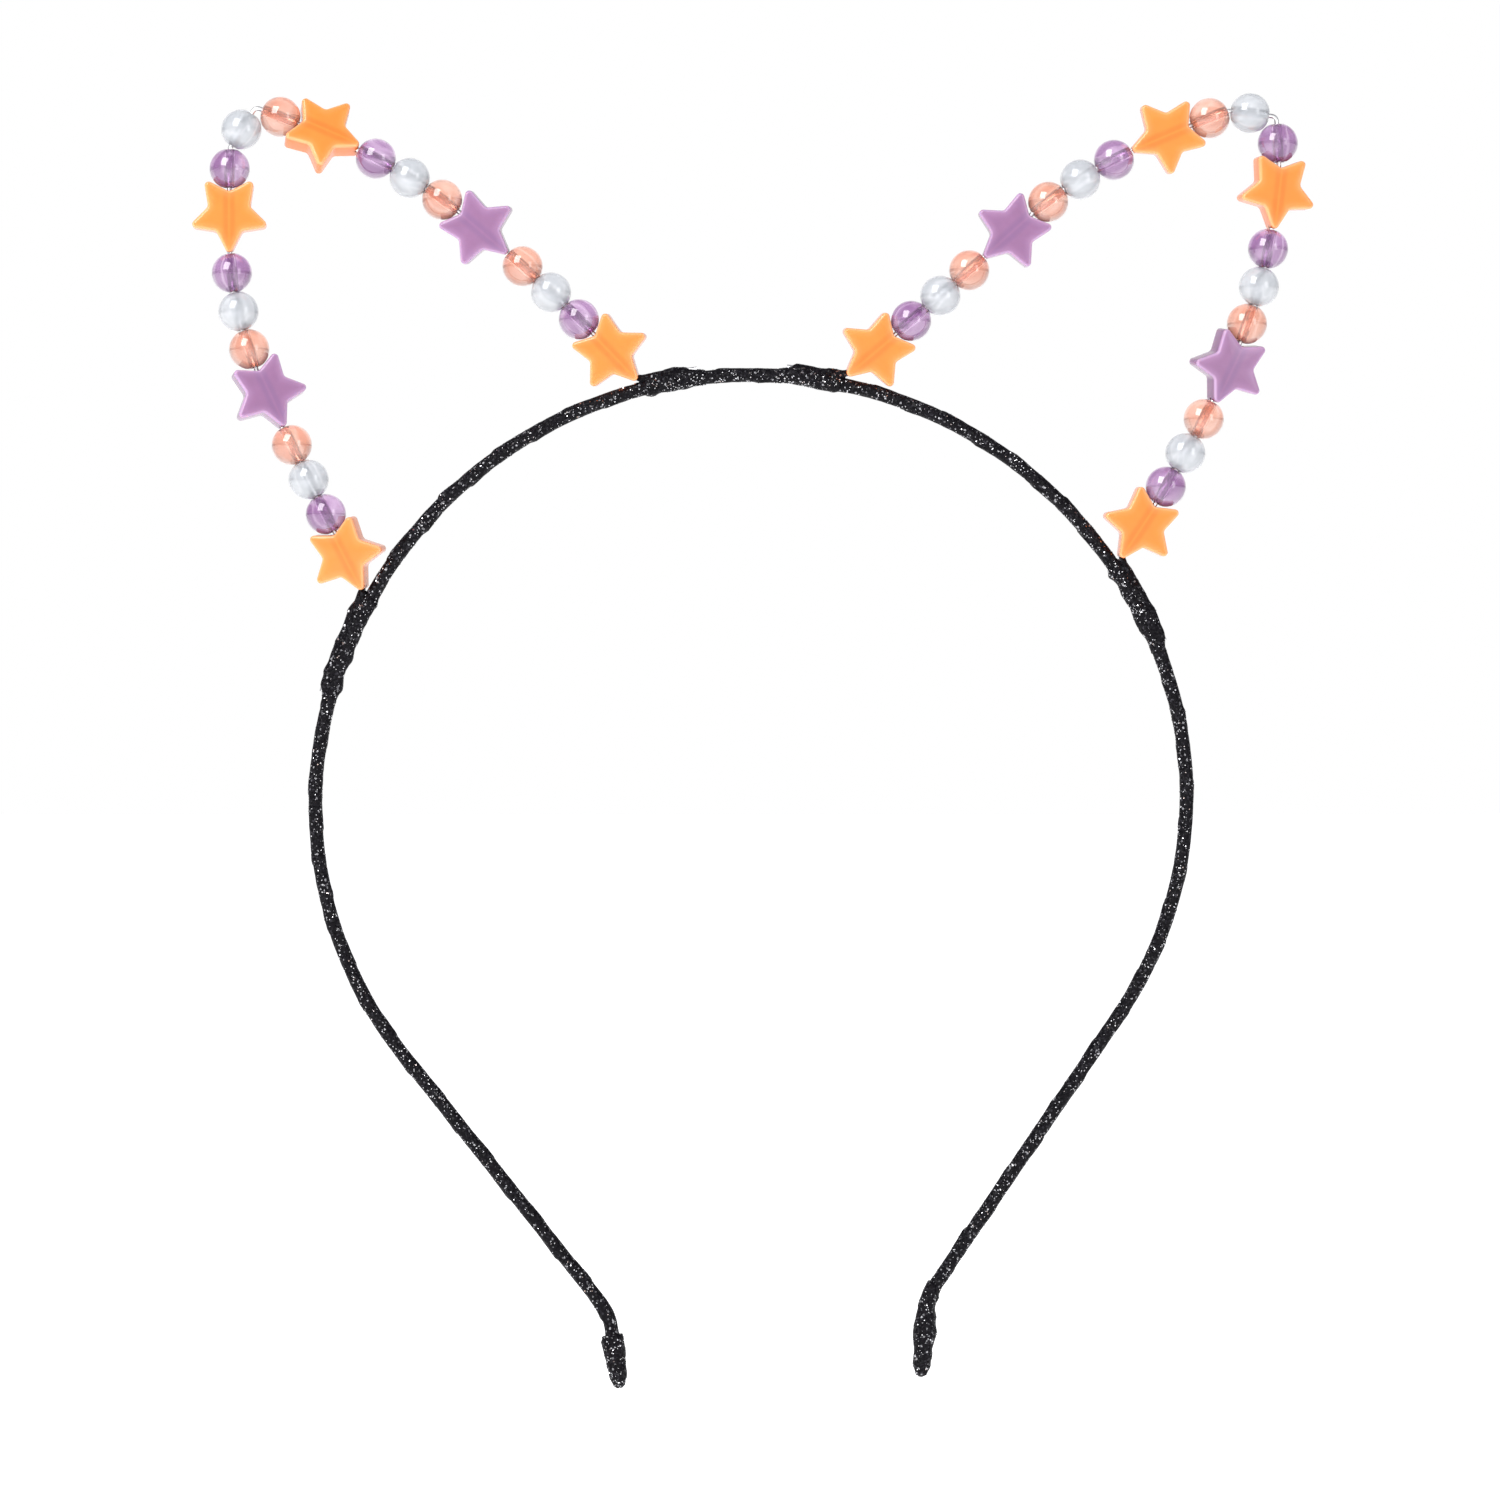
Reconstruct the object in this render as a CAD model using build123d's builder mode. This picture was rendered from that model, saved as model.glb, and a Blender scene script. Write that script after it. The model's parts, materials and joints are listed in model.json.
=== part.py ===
"""Animal-ears headband: a ribbon-wound wire hoop with two strings of beads bent into ears."""
import os
from math import asin, atan, atan2, cos, degrees, hypot, radians, sin, sqrt, tan

from build123d import *

# Millimetres and degrees. The hoop and both ears lie in the XZ plane, with the front facing -Y.
# The origin is the point under the crown that rests on the head. Left is -X, right is +X.

# Hoop wire and its ribbon winding
core_diameter = 1.5
ribbon_wall = 0.3
crown_radius = 64.8
crown_angle = {"left": 78.0, "right": 70.0}
temple_radius = {"left": 59.2, "right": 57.6}
leg_lean = {"left": 38.5, "right": 34.2}
leg_length = {"left": 47.0, "right": 48.4}
bend_radius = 8.0
tip_lean = {"left": 8.0, "right": 5.0}
tip_length = {"left": 9.0, "right": 9.9}

# End caps on the wire and the ribbon wraps over them
cap_length = 4.6
cap_wall = 0.45
cap_nose = 1.3
cap_nose_radius = 0.6
wrap_end_wall = 0.35
wrap_wall = 0.3
wrap_bulge = {"left": 0.15, "right": 0.2}
wrap_bulge_start = {"left": 2.9, "right": 4.8}
wrap_start_gap = {"left": 1.1, "right": 0.0}
bend_is_wrapped = {"left": False, "right": True}

# Ear wires and the ribbon that binds their tails to the hoop
ear_wire_diameter = 0.7
seat_gap = 0.02
foot_gap = 0.1
foot_run = 0.9
binding_wall = 0.2
binding_lip = 0.35
binding_margin = 1.2
outer_tail = {"left": 15.5, "right": 13.0}
inner_tail = 8.0
bend_run = 0.7

# Round beads
bead_diameter = 6.0
bead_bore_clearance = 0.3
bead_mouth_flare = 0.4
mouth_depth = 0.5
bead_gap = 0.08

# Star beads
star_reach = 5.7
star_tip_angle = 27.0
star_tip_rounding = 0.6
star_notch_rounding = 0.8
star_thickness = 4.0
star_edge_rounding = 0.5
star_bore_clearance = 0.2
star_mouth_flare = 0.25

# The order of the string, from an ear's outer foot over its point to its inner foot
STRING = (
    "orange_star", "purple_bead", "clear_bead", "peach_bead",
    "purple_star", "peach_bead", "clear_bead", "purple_bead",
    "orange_star", "purple_bead", "clear_bead", "peach_bead",
    "orange_star", "purple_bead", "clear_bead", "peach_bead",
    "purple_star", "peach_bead", "clear_bead", "purple_bead",
    "orange_star",
)
SIDE_STEPS = 4
APEX = 10.5

# How far each ear's string turns: along its outer side, below and above the middle star, at the
# four steps over its point, and along its inner side, above and below the middle star
ear_turns = {
    "left": {"outer": (2.0, 25.0), "point": (1.0, 32.0, 78.5, 2.0), "inner": (17.0, 6.0)},
    "right": {"outer": (8.5, 18.5), "point": (9.5, 79.5, 29.0, 1.5), "inner": (19.0, -2.0)},
}
inner_foot_angle = {"left": 14.0, "right": 11.4}

# How far each star is rolled about the wire; a positive roll shows the edge outside the ear
star_rolls = {
    "left": (-12.0, 14.0, 3.0, -24.0, 5.0, 6.0),
    "right": (-5.0, -19.0, -11.0, 4.0, 2.0, 6.0),
}

SIGN = {"left": -1, "right": 1}

# Derived sizes
core_radius = core_diameter / 2
ribbon_radius = core_radius + ribbon_wall
wire_radius = ear_wire_diameter / 2
crown_centre = ribbon_radius - crown_radius
cap_radius = core_radius + cap_wall
cap_start = wrap_end_wall + cap_length
wire_end = wrap_end_wall + cap_nose
seat_radius = crown_radius + ribbon_radius + seat_gap + wire_radius
bead_radius = bead_diameter / 2
bead_bore_radius = wire_radius + bead_bore_clearance
mouth_radius = bead_bore_radius + bead_mouth_flare
star_bore_radius = wire_radius + star_bore_clearance
bead_flat = sqrt(bead_radius**2 - mouth_radius**2)
star_point = star_reach + star_tip_rounding * (1 / sin(radians(star_tip_angle)) - 1)
notch_angle = radians(star_tip_angle + 36)
star_notch = star_point * sin(radians(star_tip_angle)) / sin(notch_angle)
star_corners = [
    ((star_point if i % 2 else star_notch) * cos(radians(36 * i)),
     (star_point if i % 2 else star_notch) * sin(radians(36 * i)))
    for i in range(10)
]


def unit(angle):
    """Direction at an angle in radians from the outward X axis towards Z."""
    return Vector(cos(angle), sin(angle))


def bead_reach(turn):
    """From a bead's centre to the wire's corner, where two beads meet at a turn."""
    half = turn / 2
    if half <= asin(mouth_radius / bead_radius):
        return bead_flat + mouth_radius * tan(half) + bead_gap / 2
    return bead_radius / cos(half) + bead_gap / 2


def nested_reaches(turn):
    """From a star's centre and from the bead in its notch to the wire's corner between them."""
    nested = (bead_radius + bead_gap) / sin(notch_angle)
    corner = (nested - bead_flat) / 2
    return star_notch + corner, (nested - corner) / (cos(turn) - sin(turn) / tan(notch_angle))


def tip_reaches(turn):
    """From a star's centre and from the bead at its tip to the wire's corner between them."""
    return star_reach + bead_gap / 2, bead_flat + mouth_radius * tan(turn) + bead_gap / 2


def step_reaches(index, turn):
    """Both reaches at the corner between a piece and the next one on the string."""
    first_is_star = STRING[index].endswith("star")
    second_is_star = STRING[index + 1].endswith("star")
    if not (first_is_star or second_is_star):
        return bead_reach(turn), bead_reach(turn)
    outer_side = index < APEX
    if first_is_star:
        return nested_reaches(turn) if outer_side else tip_reaches(turn)
    bead_first = tip_reaches(turn) if outer_side else nested_reaches(turn)
    return bead_first[1], bead_first[0]


def ear_layout(side):
    """Wire corners, piece centres and headings of one ear, seen with +X pointing outwards."""
    turns = ear_turns[side]
    steps = [turns["outer"][0] / SIDE_STEPS] * SIDE_STEPS
    steps += [turns["outer"][1] / SIDE_STEPS] * SIDE_STEPS
    steps += turns["point"]
    steps += [turns["inner"][0] / SIDE_STEPS] * SIDE_STEPS
    steps += [turns["inner"][1] / SIDE_STEPS] * SIDE_STEPS
    before = [star_reach + foot_gap]
    after = []
    for index, turn in enumerate(steps):
        near, far = step_reaches(index, radians(abs(turn)))
        after.append(near)
        before.append(far)
    after.append(star_reach + foot_gap)

    heading = 0.0
    corners = [Vector(0, 0)]
    centres = []
    headings = []
    for index in range(len(STRING)):
        centres.append(corners[-1] + unit(heading) * before[index])
        corners.append(centres[-1] + unit(heading) * after[index])
        headings.append(heading)
        if index < len(steps):
            heading += radians(steps[index])

    # Both feet stand on the crown, so the chord between them settles the rest
    chord = corners[-1] - corners[0]
    foot_radius = hypot(seat_radius, foot_run)
    foot_offset = atan(foot_run / seat_radius)
    inner_foot = radians(inner_foot_angle[side]) + foot_offset
    outer_foot = inner_foot + 2 * asin(chord.length / 2 / foot_radius)
    start = Vector(foot_radius * sin(outer_foot), crown_centre + foot_radius * cos(outer_foot))
    end = Vector(foot_radius * sin(inner_foot), crown_centre + foot_radius * cos(inner_foot))
    tilt = atan2((end - start).Y, (end - start).X) - atan2(chord.Y, chord.X)

    def place(point):
        return start + unit(tilt) * point.X + unit(tilt + radians(90)) * point.Y

    return {
        "corners": [place(point) for point in corners],
        "centres": [place(point) for point in centres],
        "headings": [angle + tilt for angle in headings],
        "outer_angle": degrees(outer_foot + foot_offset),
        "inner_angle": degrees(inner_foot - foot_offset),
    }


def ear_axes(side):
    """World centre and wire direction of every piece on one ear."""
    layout = ear_layout(side)
    sign = SIGN[side]
    pairs = zip(layout["centres"], layout["headings"])
    return [
        (Vector(sign * centre.X, 0, centre.Y), Vector(sign * cos(angle), 0, sin(angle)))
        for centre, angle in pairs
    ]


def half_hoop(side, tip):
    """Draw one half of the hoop's route, from the top of the crown to a length of its tip."""
    sign = SIGN[side]
    crown = CenterArc((0, crown_centre), crown_radius, 90, -sign * crown_angle[side])
    temple = JernArc(
        crown @ 1, crown % 1, temple_radius[side], -sign * (90 + leg_lean[side] - crown_angle[side])
    )
    leg = Line(temple @ 1, temple @ 1 + leg_length[side] * (temple % 1))
    bend = JernArc(leg @ 1, leg % 1, bend_radius, sign * (leg_lean[side] - tip_lean[side]))
    Line(bend @ 1, bend @ 1 + tip * (bend % 1))
    return bend


def sweep_rod(route, radius, mode=Mode.ADD):
    """Sweep a round section along a route."""
    with BuildSketch(Plane(origin=route @ 0, z_dir=route % 0)) as section:
        Circle(radius)
    sweep(sections=section.sketch, path=route, mode=mode)


def export(builder, name):
    """Label a finished piece and write it."""
    builder.part.label = name
    export_step(builder.part, f"parts/{name}.step")


def make_tip(side, bend):
    """Make the cap on one end of the hoop wire and the ribbon wrapped over it."""
    downward = bend % 1
    tip_end = bend @ 1 + tip_length[side] * downward
    # Local X is the radius and local Y runs back up the wire
    across = Vector(0, 1, 0)
    tip_plane = Plane(origin=tip_end, x_dir=across, z_dir=across.cross(-downward))
    tip_axis = Axis(tip_end, downward)
    neck = cap_radius + wrap_wall
    bulge = neck + wrap_bulge[side]
    bulge_start = wrap_bulge_start[side]
    wrap_start = tip_length[side] - wrap_start_gap[side]

    with BuildPart() as tip_cap:
        with BuildSketch(tip_plane):
            with BuildLine():
                Polyline(
                    (0, wrap_end_wall),
                    (cap_nose_radius, wrap_end_wall),
                    (cap_radius, wire_end),
                    (cap_radius, cap_start),
                    (core_radius, cap_start),
                    (core_radius, wire_end),
                    (0, wire_end),
                    close=True,
                )
            make_face()
        revolve(axis=tip_axis)
    export(tip_cap, f"{side}_tip_cap")

    with BuildPart() as tip_wrap:
        with BuildSketch(tip_plane):
            with BuildLine():
                Polyline(
                    (0, 0),
                    (cap_nose_radius, 0),
                    (neck, wire_end),
                    (neck, bulge_start - wrap_wall),
                    (bulge, bulge_start),
                    (bulge, wrap_start),
                    (ribbon_radius, wrap_start),
                    (ribbon_radius, cap_start),
                    (cap_radius, cap_start),
                    (cap_radius, wire_end),
                    (cap_nose_radius, wrap_end_wall),
                    (0, wrap_end_wall),
                    close=True,
                )
            make_face()
        revolve(axis=tip_axis)
        if bend_is_wrapped[side]:
            with BuildSketch(Plane(origin=bend @ 1, z_dir=downward)):
                Circle(bulge)
                Circle(ribbon_radius, mode=Mode.SUBTRACT)
            sweep(path=bend)
    export(tip_wrap, f"{side}_tip_wrap")


def make_binding(name, sign, wire, near, far):
    """Bind ribbon around the hoop and a wire's tail, between two angles from the crown's top."""
    centre = Vector(0, 0, crown_centre)
    across = Vector(0, 1, 0)
    outward = Vector(sign * sin(radians(near)), 0, cos(radians(near)))
    with BuildPart() as binding:
        # Local X is the crown's radius
        with BuildSketch(Plane(origin=centre, x_dir=outward, z_dir=outward.cross(across))):
            with Locations((crown_radius, 0)):
                Circle(ribbon_radius + binding_wall)
            with Locations((seat_radius, 0)):
                Circle(wire_radius + binding_wall)
            make_hull()
            with Locations((crown_radius, 0)):
                Circle(ribbon_radius, mode=Mode.SUBTRACT)
        revolve(axis=Axis(centre, sign * across), revolution_arc=far - near)
        add(wire, mode=Mode.SUBTRACT)
    export(binding, name)


def make_ear_wire(side, layout):
    """Bend one ear's wire from its outer tail over the ear's point to its inner tail."""
    sign = SIGN[side]
    outer, inner = layout["outer_angle"], layout["inner_angle"]
    outer_arc = degrees(outer_tail[side] / seat_radius)
    inner_arc = degrees(inner_tail / seat_radius)
    seats = [
        Vector(seat_radius * sin(radians(a)), crown_centre + seat_radius * cos(radians(a)))
        for a in (outer, inner)
    ]
    points = [seats[0], *layout["corners"], seats[1]]
    bends = [
        bend_run / tan(radians((b - a).get_angle(c - b)) / 2)
        for a, b, c in zip(points, points[1:], points[2:])
    ]
    with BuildLine(Plane.XZ) as route:
        CenterArc((0, crown_centre), seat_radius, 90 - sign * (outer + outer_arc), sign * outer_arc)
        FilletPolyline(*[(sign * point.X, point.Y) for point in points], radius=bends)
        CenterArc((0, crown_centre), seat_radius, 90 - sign * inner, sign * inner_arc)
    with BuildPart() as ear_wire:
        sweep_rod(route.wire(), wire_radius)
    export(ear_wire, f"{side}_ear_wire")

    lip = degrees(binding_lip / seat_radius)
    margin = degrees(binding_margin / seat_radius)
    make_binding(
        f"{side}_outer_binding", sign, ear_wire.part, outer - lip, outer + outer_arc + margin
    )
    make_binding(
        f"{side}_inner_binding", sign, ear_wire.part, inner - inner_arc - margin, inner + lip
    )


def make_bead(name, plane):
    """Make a round bead with a flared bore along local X."""
    with BuildPart() as bead:
        with BuildSketch(plane):
            with BuildLine():
                ThreePointArc((-bead_flat, mouth_radius), (0, bead_radius), (bead_flat, mouth_radius))
                Polyline(
                    (bead_flat, mouth_radius),
                    (bead_flat - mouth_depth, bead_bore_radius),
                    (mouth_depth - bead_flat, bead_bore_radius),
                    (-bead_flat, mouth_radius),
                )
            make_face()
        revolve(axis=Axis(plane.origin, plane.x_dir))
    export(bead, name)


def make_star(name, plane):
    """Make a star bead whose bore runs along local X, from one notch out through the far tip."""
    with BuildPart() as star:
        with BuildSketch(plane) as outline:
            with BuildLine():
                Polyline(*star_corners, close=True)
            make_face()
            fillet(outline.vertices().sort_by_distance((0, 0, 0))[:5], star_notch_rounding)
            fillet(outline.vertices().sort_by_distance((0, 0, 0))[-5:], star_tip_rounding)
        extrude(amount=star_thickness / 2, both=True)
        faces = star.faces().sort_by(Axis(plane.origin, plane.z_dir))
        fillet([*faces[0].edges(), *faces[-1].edges()], star_edge_rounding)
        with BuildSketch(plane):
            with BuildLine():
                Polyline(
                    (-star_point, 0),
                    (-star_point, star_bore_radius),
                    (star_notch - mouth_depth, star_bore_radius),
                    (star_notch, star_bore_radius + star_mouth_flare),
                    (star_point, star_bore_radius + star_mouth_flare),
                    (star_point, 0),
                    close=True,
                )
            make_face()
        revolve(axis=Axis(plane.origin, plane.x_dir), mode=Mode.SUBTRACT)
    export(star, name)


def make_string(side):
    """Make every bead of one ear in its place on the wire."""
    sign = SIGN[side]
    rolls = iter(star_rolls[side])
    front = Vector(0, -1, 0)
    for index, (centre, along) in enumerate(ear_axes(side)):
        kind = STRING[index]
        name = f"{side}_ear_{index + 1:02d}_{kind}"
        # Local X runs along the wire towards the ear's point and local Z faces the front
        towards_point = along if index < APEX else -along
        if kind.endswith("star"):
            roll = radians(next(rolls))
            outside = Vector(0, sign, 0).cross(along)
            facing = front * cos(roll) - outside * sin(roll)
            make_star(name, Plane(origin=centre, x_dir=towards_point, z_dir=facing))
        else:
            make_bead(name, Plane(origin=centre, x_dir=towards_point, z_dir=front))


os.makedirs("parts", exist_ok=True)

with BuildLine(Plane.XZ) as core_route:
    for side in SIGN:
        half_hoop(side, tip_length[side] - wire_end)

with BuildLine(Plane.XZ) as ribbon_route:
    tip_bends = {side: half_hoop(side, tip_length[side] - cap_start) for side in SIGN}

with BuildPart() as core_wire:
    sweep_rod(core_route.wire(), core_radius)
export(core_wire, "core_wire")

with BuildPart() as hoop_ribbon:
    sweep_rod(ribbon_route.wire(), ribbon_radius)
    sweep_rod(core_route.wire(), core_radius, Mode.SUBTRACT)
export(hoop_ribbon, "hoop_ribbon")

for side in SIGN:
    make_tip(side, tip_bends[side])
    make_ear_wire(side, ear_layout(side))
    make_string(side)
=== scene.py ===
"""Looks for the animal-ears headband: beads, stars, wound glitter ribbon, wires, light and camera.

The headband lies in the XZ plane with its front towards -Y. Lengths in the tables are millimetres.
"""
import json
import math
import random

import bmesh
import bpy
import numpy as np
from mathutils import Matrix, Vector, noise


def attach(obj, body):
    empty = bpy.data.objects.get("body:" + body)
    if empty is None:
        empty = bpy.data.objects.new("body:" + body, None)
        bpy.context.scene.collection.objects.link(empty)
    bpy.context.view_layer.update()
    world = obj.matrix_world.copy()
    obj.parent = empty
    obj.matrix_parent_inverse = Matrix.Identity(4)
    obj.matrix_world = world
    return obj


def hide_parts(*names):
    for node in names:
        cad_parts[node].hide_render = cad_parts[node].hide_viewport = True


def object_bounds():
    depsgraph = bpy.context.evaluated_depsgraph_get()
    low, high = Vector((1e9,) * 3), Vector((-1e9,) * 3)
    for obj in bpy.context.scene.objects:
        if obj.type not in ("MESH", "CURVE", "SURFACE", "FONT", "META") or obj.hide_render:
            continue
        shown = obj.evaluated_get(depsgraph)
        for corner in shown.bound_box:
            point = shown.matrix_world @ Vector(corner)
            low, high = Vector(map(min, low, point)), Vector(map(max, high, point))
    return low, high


MM = 0.001

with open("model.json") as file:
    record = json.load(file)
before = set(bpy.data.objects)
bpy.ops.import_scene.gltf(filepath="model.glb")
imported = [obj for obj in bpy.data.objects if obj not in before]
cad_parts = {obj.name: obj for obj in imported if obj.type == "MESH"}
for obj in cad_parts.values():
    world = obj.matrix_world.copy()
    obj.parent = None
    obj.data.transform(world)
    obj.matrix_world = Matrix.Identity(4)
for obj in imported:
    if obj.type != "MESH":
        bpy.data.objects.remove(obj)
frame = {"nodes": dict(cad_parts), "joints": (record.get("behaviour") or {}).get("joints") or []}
cad_low, cad_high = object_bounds()
nodes = frame["nodes"]

# The hoop's route, as the wire is bent
RIBBON_RADIUS = 1.05
CROWN_RADIUS = 64.8
CROWN_ANGLE = {"left": 78.0, "right": 70.0}
TEMPLE_RADIUS = {"left": 59.2, "right": 57.6}
LEG_LEAN = {"left": 38.5, "right": 34.2}
LEG_LENGTH = {"left": 47.0, "right": 48.4}
BEND_RADIUS = 8.0
TIP_LEAN = {"left": 8.0, "right": 5.0}
TIP_LENGTH = {"left": 9.0, "right": 9.9}
SIGN = {"left": -1, "right": 1}

# The wound ribbon: a strip laid on in long turns, each edge standing a little proud of the last
TURN_PITCH = 11.5
OVERLAP = 0.30
RIBBON_STEP = 0.24
RING_STEP = 0.36
RING_SIDES = 28
WINDING_START = 4.95
HOOP_FLAKES = 4400
FLAKE_HALF_SIZE = (0.06, 0.13)
FLAKE_TILT = 0.6
FLAKE_LIFT = (0.01, 0.04)

# Radius of each tip's wrap against the length up from its end
TIP_PROFILE = {
    "left": [
        (0.0, 0.5),
        (0.25, 0.86),
        (1.0, 1.15),
        (1.65, 1.38),
        (3.9, 1.54),
        (5.5, 1.7),
        (7.2, 1.74),
        (7.9, 1.55),
    ],
    "right": [
        (0.0, 0.3),
        (0.25, 0.84),
        (1.0, 1.16),
        (1.65, 1.4),
        (4.2, 1.46),
        (5.6, 1.68),
        (6.8, 1.82),
        (8.5, 1.6),
        (10.0, 1.38),
        (12.4, 1.32),
        (13.98, 1.2),
    ],
}
TIP_PITCH = 3.1
TIP_STEP = 0.13
TIP_OVERLAP = 0.35
TIP_FLAKES = 220

# Bindings over the ear wires' tails
SEAT_RADIUS = 66.22
WIRE_RADIUS = 0.35
BINDING_WALL = 0.2
BINDING_PITCH = 4.6
BINDING_STEP = 0.15
BINDING_OVERLAP = 0.45
BINDING_FLAKES = 250

# Ribbon sleeves from the bindings up to the foot stars
SLEEVE_SIDES = 20
SLEEVE_GAP = 0.12
SLEEVE_RADIUS = 0.52
SLEEVE_SWELL = 0.22
SLEEVE_FOLD = 0.12

# Round beads
BEAD_RADIUS = 3.0
BEAD_BORE = 0.58
BEAD_MOUTH = 1.05
BEAD_SIDES = 56
BEAD_RINGS = 40
SEAM_RIDGE = 0.006

# Star beads
STAR_REACH = 5.7
STAR_TIP_ANGLE = 27.0
STAR_TIP_ROUNDING = 0.6
STAR_NOTCH_ROUNDING = 0.8
STAR_THICKNESS = 4.0
STAR_EDGE_ROUNDING = 0.5
STAR_BORE = 0.55
STAR_MOUTH = 0.8
STAR_CROWN = 0.05
TIP_POINTS = 9
NOTCH_POINTS = 7
EDGE_STEPS = 6
FACE_RINGS = (0.12, 0.3, 0.5, 0.7, 0.88)
DRILL_SIDES = 32
SHARP_ANGLE = 38

# Stars up to this number point along their joint's axis, and the rest against it
LAST_RISING_BEAD = 11

# Camera, lights and floor, in metres, and watts
VIEW_WIDTH = 0.2222
DISTANCE = 0.9
CAMERA_PLACE = (-0.0003, -DISTANCE, -0.0545)
SENSOR_WIDTH = 36.0
CLIP_END = 50.0
KEY = {"offset": (-0.45, -0.62, 0.62), "size": (0.5, 0.7), "power": 8.0}
FILL = {"offset": (0.75, -0.75, 0.2), "size": (0.3, 0.6), "power": 1.6}
FLOOR_REACH = 8.0
FLOOR_GAP = 0.0004
FLOOR_GLOW = 0.7
WHITE = (1.0, 1.0, 1.0, 1.0)


# ---------------------------------------------------------------- materials


def new_material(name):
    """A node material with its tree, shader and output ready."""
    material = bpy.data.materials.new(name)
    material.use_nodes = True
    tree = material.node_tree
    return material, tree, tree.nodes["Principled BSDF"]


def set_sockets(shader, values):
    """Set plain numbers and colours on the shader's own sockets."""
    for name, value in values.items():
        shader.inputs[name].default_value = value


def add(tree, kind, **inputs):
    """Add a node and set some of its inputs by name."""
    node = tree.nodes.new(kind)
    for name, value in inputs.items():
        node.inputs[name].default_value = value
    return node


def ramp(tree, source, stops):
    """Map a value to colours through a ramp."""
    node = tree.nodes.new("ShaderNodeValToRGB")
    elements = node.color_ramp.elements
    while len(elements) < len(stops):
        elements.new(0.5)
    for element, (place, colour) in zip(elements, stops):
        element.position = place
        element.color = (*colour, 1.0)
    tree.links.new(source, node.inputs["Fac"])
    return node


def grey(value):
    """A grey of one value."""
    return (value, value, value)


def mix_colours(tree, blend, a, b):
    """A node that mixes two colours, with its factor left at one."""
    node = add(tree, "ShaderNodeMix")
    node.data_type = "RGBA"
    node.blend_type = blend
    node.inputs["Factor"].default_value = 1.0
    tree.links.new(a, node.inputs["A"])
    tree.links.new(b, node.inputs["B"])
    return node


def vector_math(tree, operation, source):
    """A vector operation on a first input."""
    node = add(tree, "ShaderNodeVectorMath")
    node.operation = operation
    tree.links.new(source, node.inputs[0])
    return node


def textured(tree, kind, coords, **inputs):
    """A texture node read at some coordinates."""
    node = add(tree, kind, **inputs)
    tree.links.new(coords, node.inputs["Vector"])
    return node


def object_coords(tree):
    """Coordinates in the piece's own space, in metres."""
    return add(tree, "ShaderNodeTexCoord").outputs["Object"]


def bump_from(tree, shader, height, strength, distance):
    """Drive the shader's normal from a height."""
    bump = add(tree, "ShaderNodeBump", Strength=strength, Distance=distance)
    tree.links.new(height, bump.inputs["Height"])
    tree.links.new(bump.outputs["Normal"], shader.inputs["Normal"])


def scaled_object_coords(tree, scale):
    """Object coordinates multiplied by a scale."""
    mapping = add(tree, "ShaderNodeMapping", Scale=scale)
    tree.links.new(object_coords(tree), mapping.inputs["Vector"])
    return mapping.outputs["Vector"]


def acrylic(name, colour, pale, clarity):
    """Tinted clear acrylic with faint flow lines from moulding."""
    material, tree, shader = new_material(name)
    set_sockets(shader, {"Roughness": 0.04, "IOR": 1.49, "Transmission Weight": clarity})
    set_sockets(shader, {"Coat Weight": 1.0, "Coat Roughness": 0.02})
    coords = scaled_object_coords(tree, (55, 420, 420))
    flow = textured(tree, "ShaderNodeTexNoise", coords, Scale=1.0, Detail=0.8, Distortion=0.4)
    tint = ramp(tree, flow.outputs["Fac"], [(0.38, colour), (0.5, pale), (0.62, colour)])
    tree.links.new(tint.outputs["Color"], shader.inputs["Base Color"])
    bump_from(tree, shader, flow.outputs["Fac"], 0.02, 0.0001)
    return material


def share_of(tree, source, reach):
    """A length's size as a share of a reach in metres, from 0 to 1."""
    size = add(tree, "ShaderNodeMath")
    size.operation = "ABSOLUTE"
    tree.links.new(source, size.inputs[0])
    share = add(tree, "ShaderNodeMapRange")
    share.inputs["From Max"].default_value = reach
    tree.links.new(size.outputs["Value"], share.inputs["Value"])
    return share.outputs["Result"]


def star_plastic(name, core, side, rim, line):
    """Glossy translucent plastic: a painted highlight in a pale colour along the rounded rims, and side
    walls painted a shade darker than the faces (painted shade), with the bore as a soft darker line.
    """
    material, tree, shader = new_material(name)
    set_sockets(
        shader,
        {
            "Roughness": 0.24,
            "IOR": 1.49,
            "Specular IOR Level": 0.35,
            "Subsurface Weight": 0.2,
            "Subsurface Radius": (1.0, 0.55, 0.35),
            "Subsurface Scale": 0.0012,
            "Coat Weight": 0.3,
            "Coat Roughness": 0.05,
        },
    )
    coords = object_coords(tree)
    split = add(tree, "ShaderNodeSeparateXYZ")
    tree.links.new(coords, split.inputs["Vector"])
    across = share_of(tree, split.outputs["Y"], 0.006)
    bore = ramp(tree, across, [(0.0, core), (0.05, line), (0.1, line), (0.19, core)])
    height = share_of(tree, split.outputs["Z"], 0.0022)
    on_face = ramp(tree, height, [(0.86, grey(0.0)), (0.92, grey(1.0))])
    # Painted shade and highlight: side walls a shade darker than the faces, and the rounded rims pale as a
    # painted highlight line
    painted_wall_shade_and_rim_highlight = ramp(tree, height, [(0.62, side), (0.76, rim)])
    surface = mix_colours(tree, "MIX", painted_wall_shade_and_rim_highlight.outputs["Color"], bore.outputs["Color"])
    tree.links.new(on_face.outputs["Color"], surface.inputs["Factor"])
    mottling = textured(tree, "ShaderNodeTexNoise", coords, Scale=420.0, Detail=4.0, Roughness=0.55)
    shade = ramp(tree, mottling.outputs["Fac"], [(0.3, grey(0.93)), (0.7, grey(1.0))])
    tinted = mix_colours(tree, "MULTIPLY", surface.outputs["Result"], shade.outputs["Color"])
    tree.links.new(tinted.outputs["Result"], shader.inputs["Base Color"])
    bump_from(tree, shader, mottling.outputs["Fac"], 0.08, 0.00015)
    return material


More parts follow.
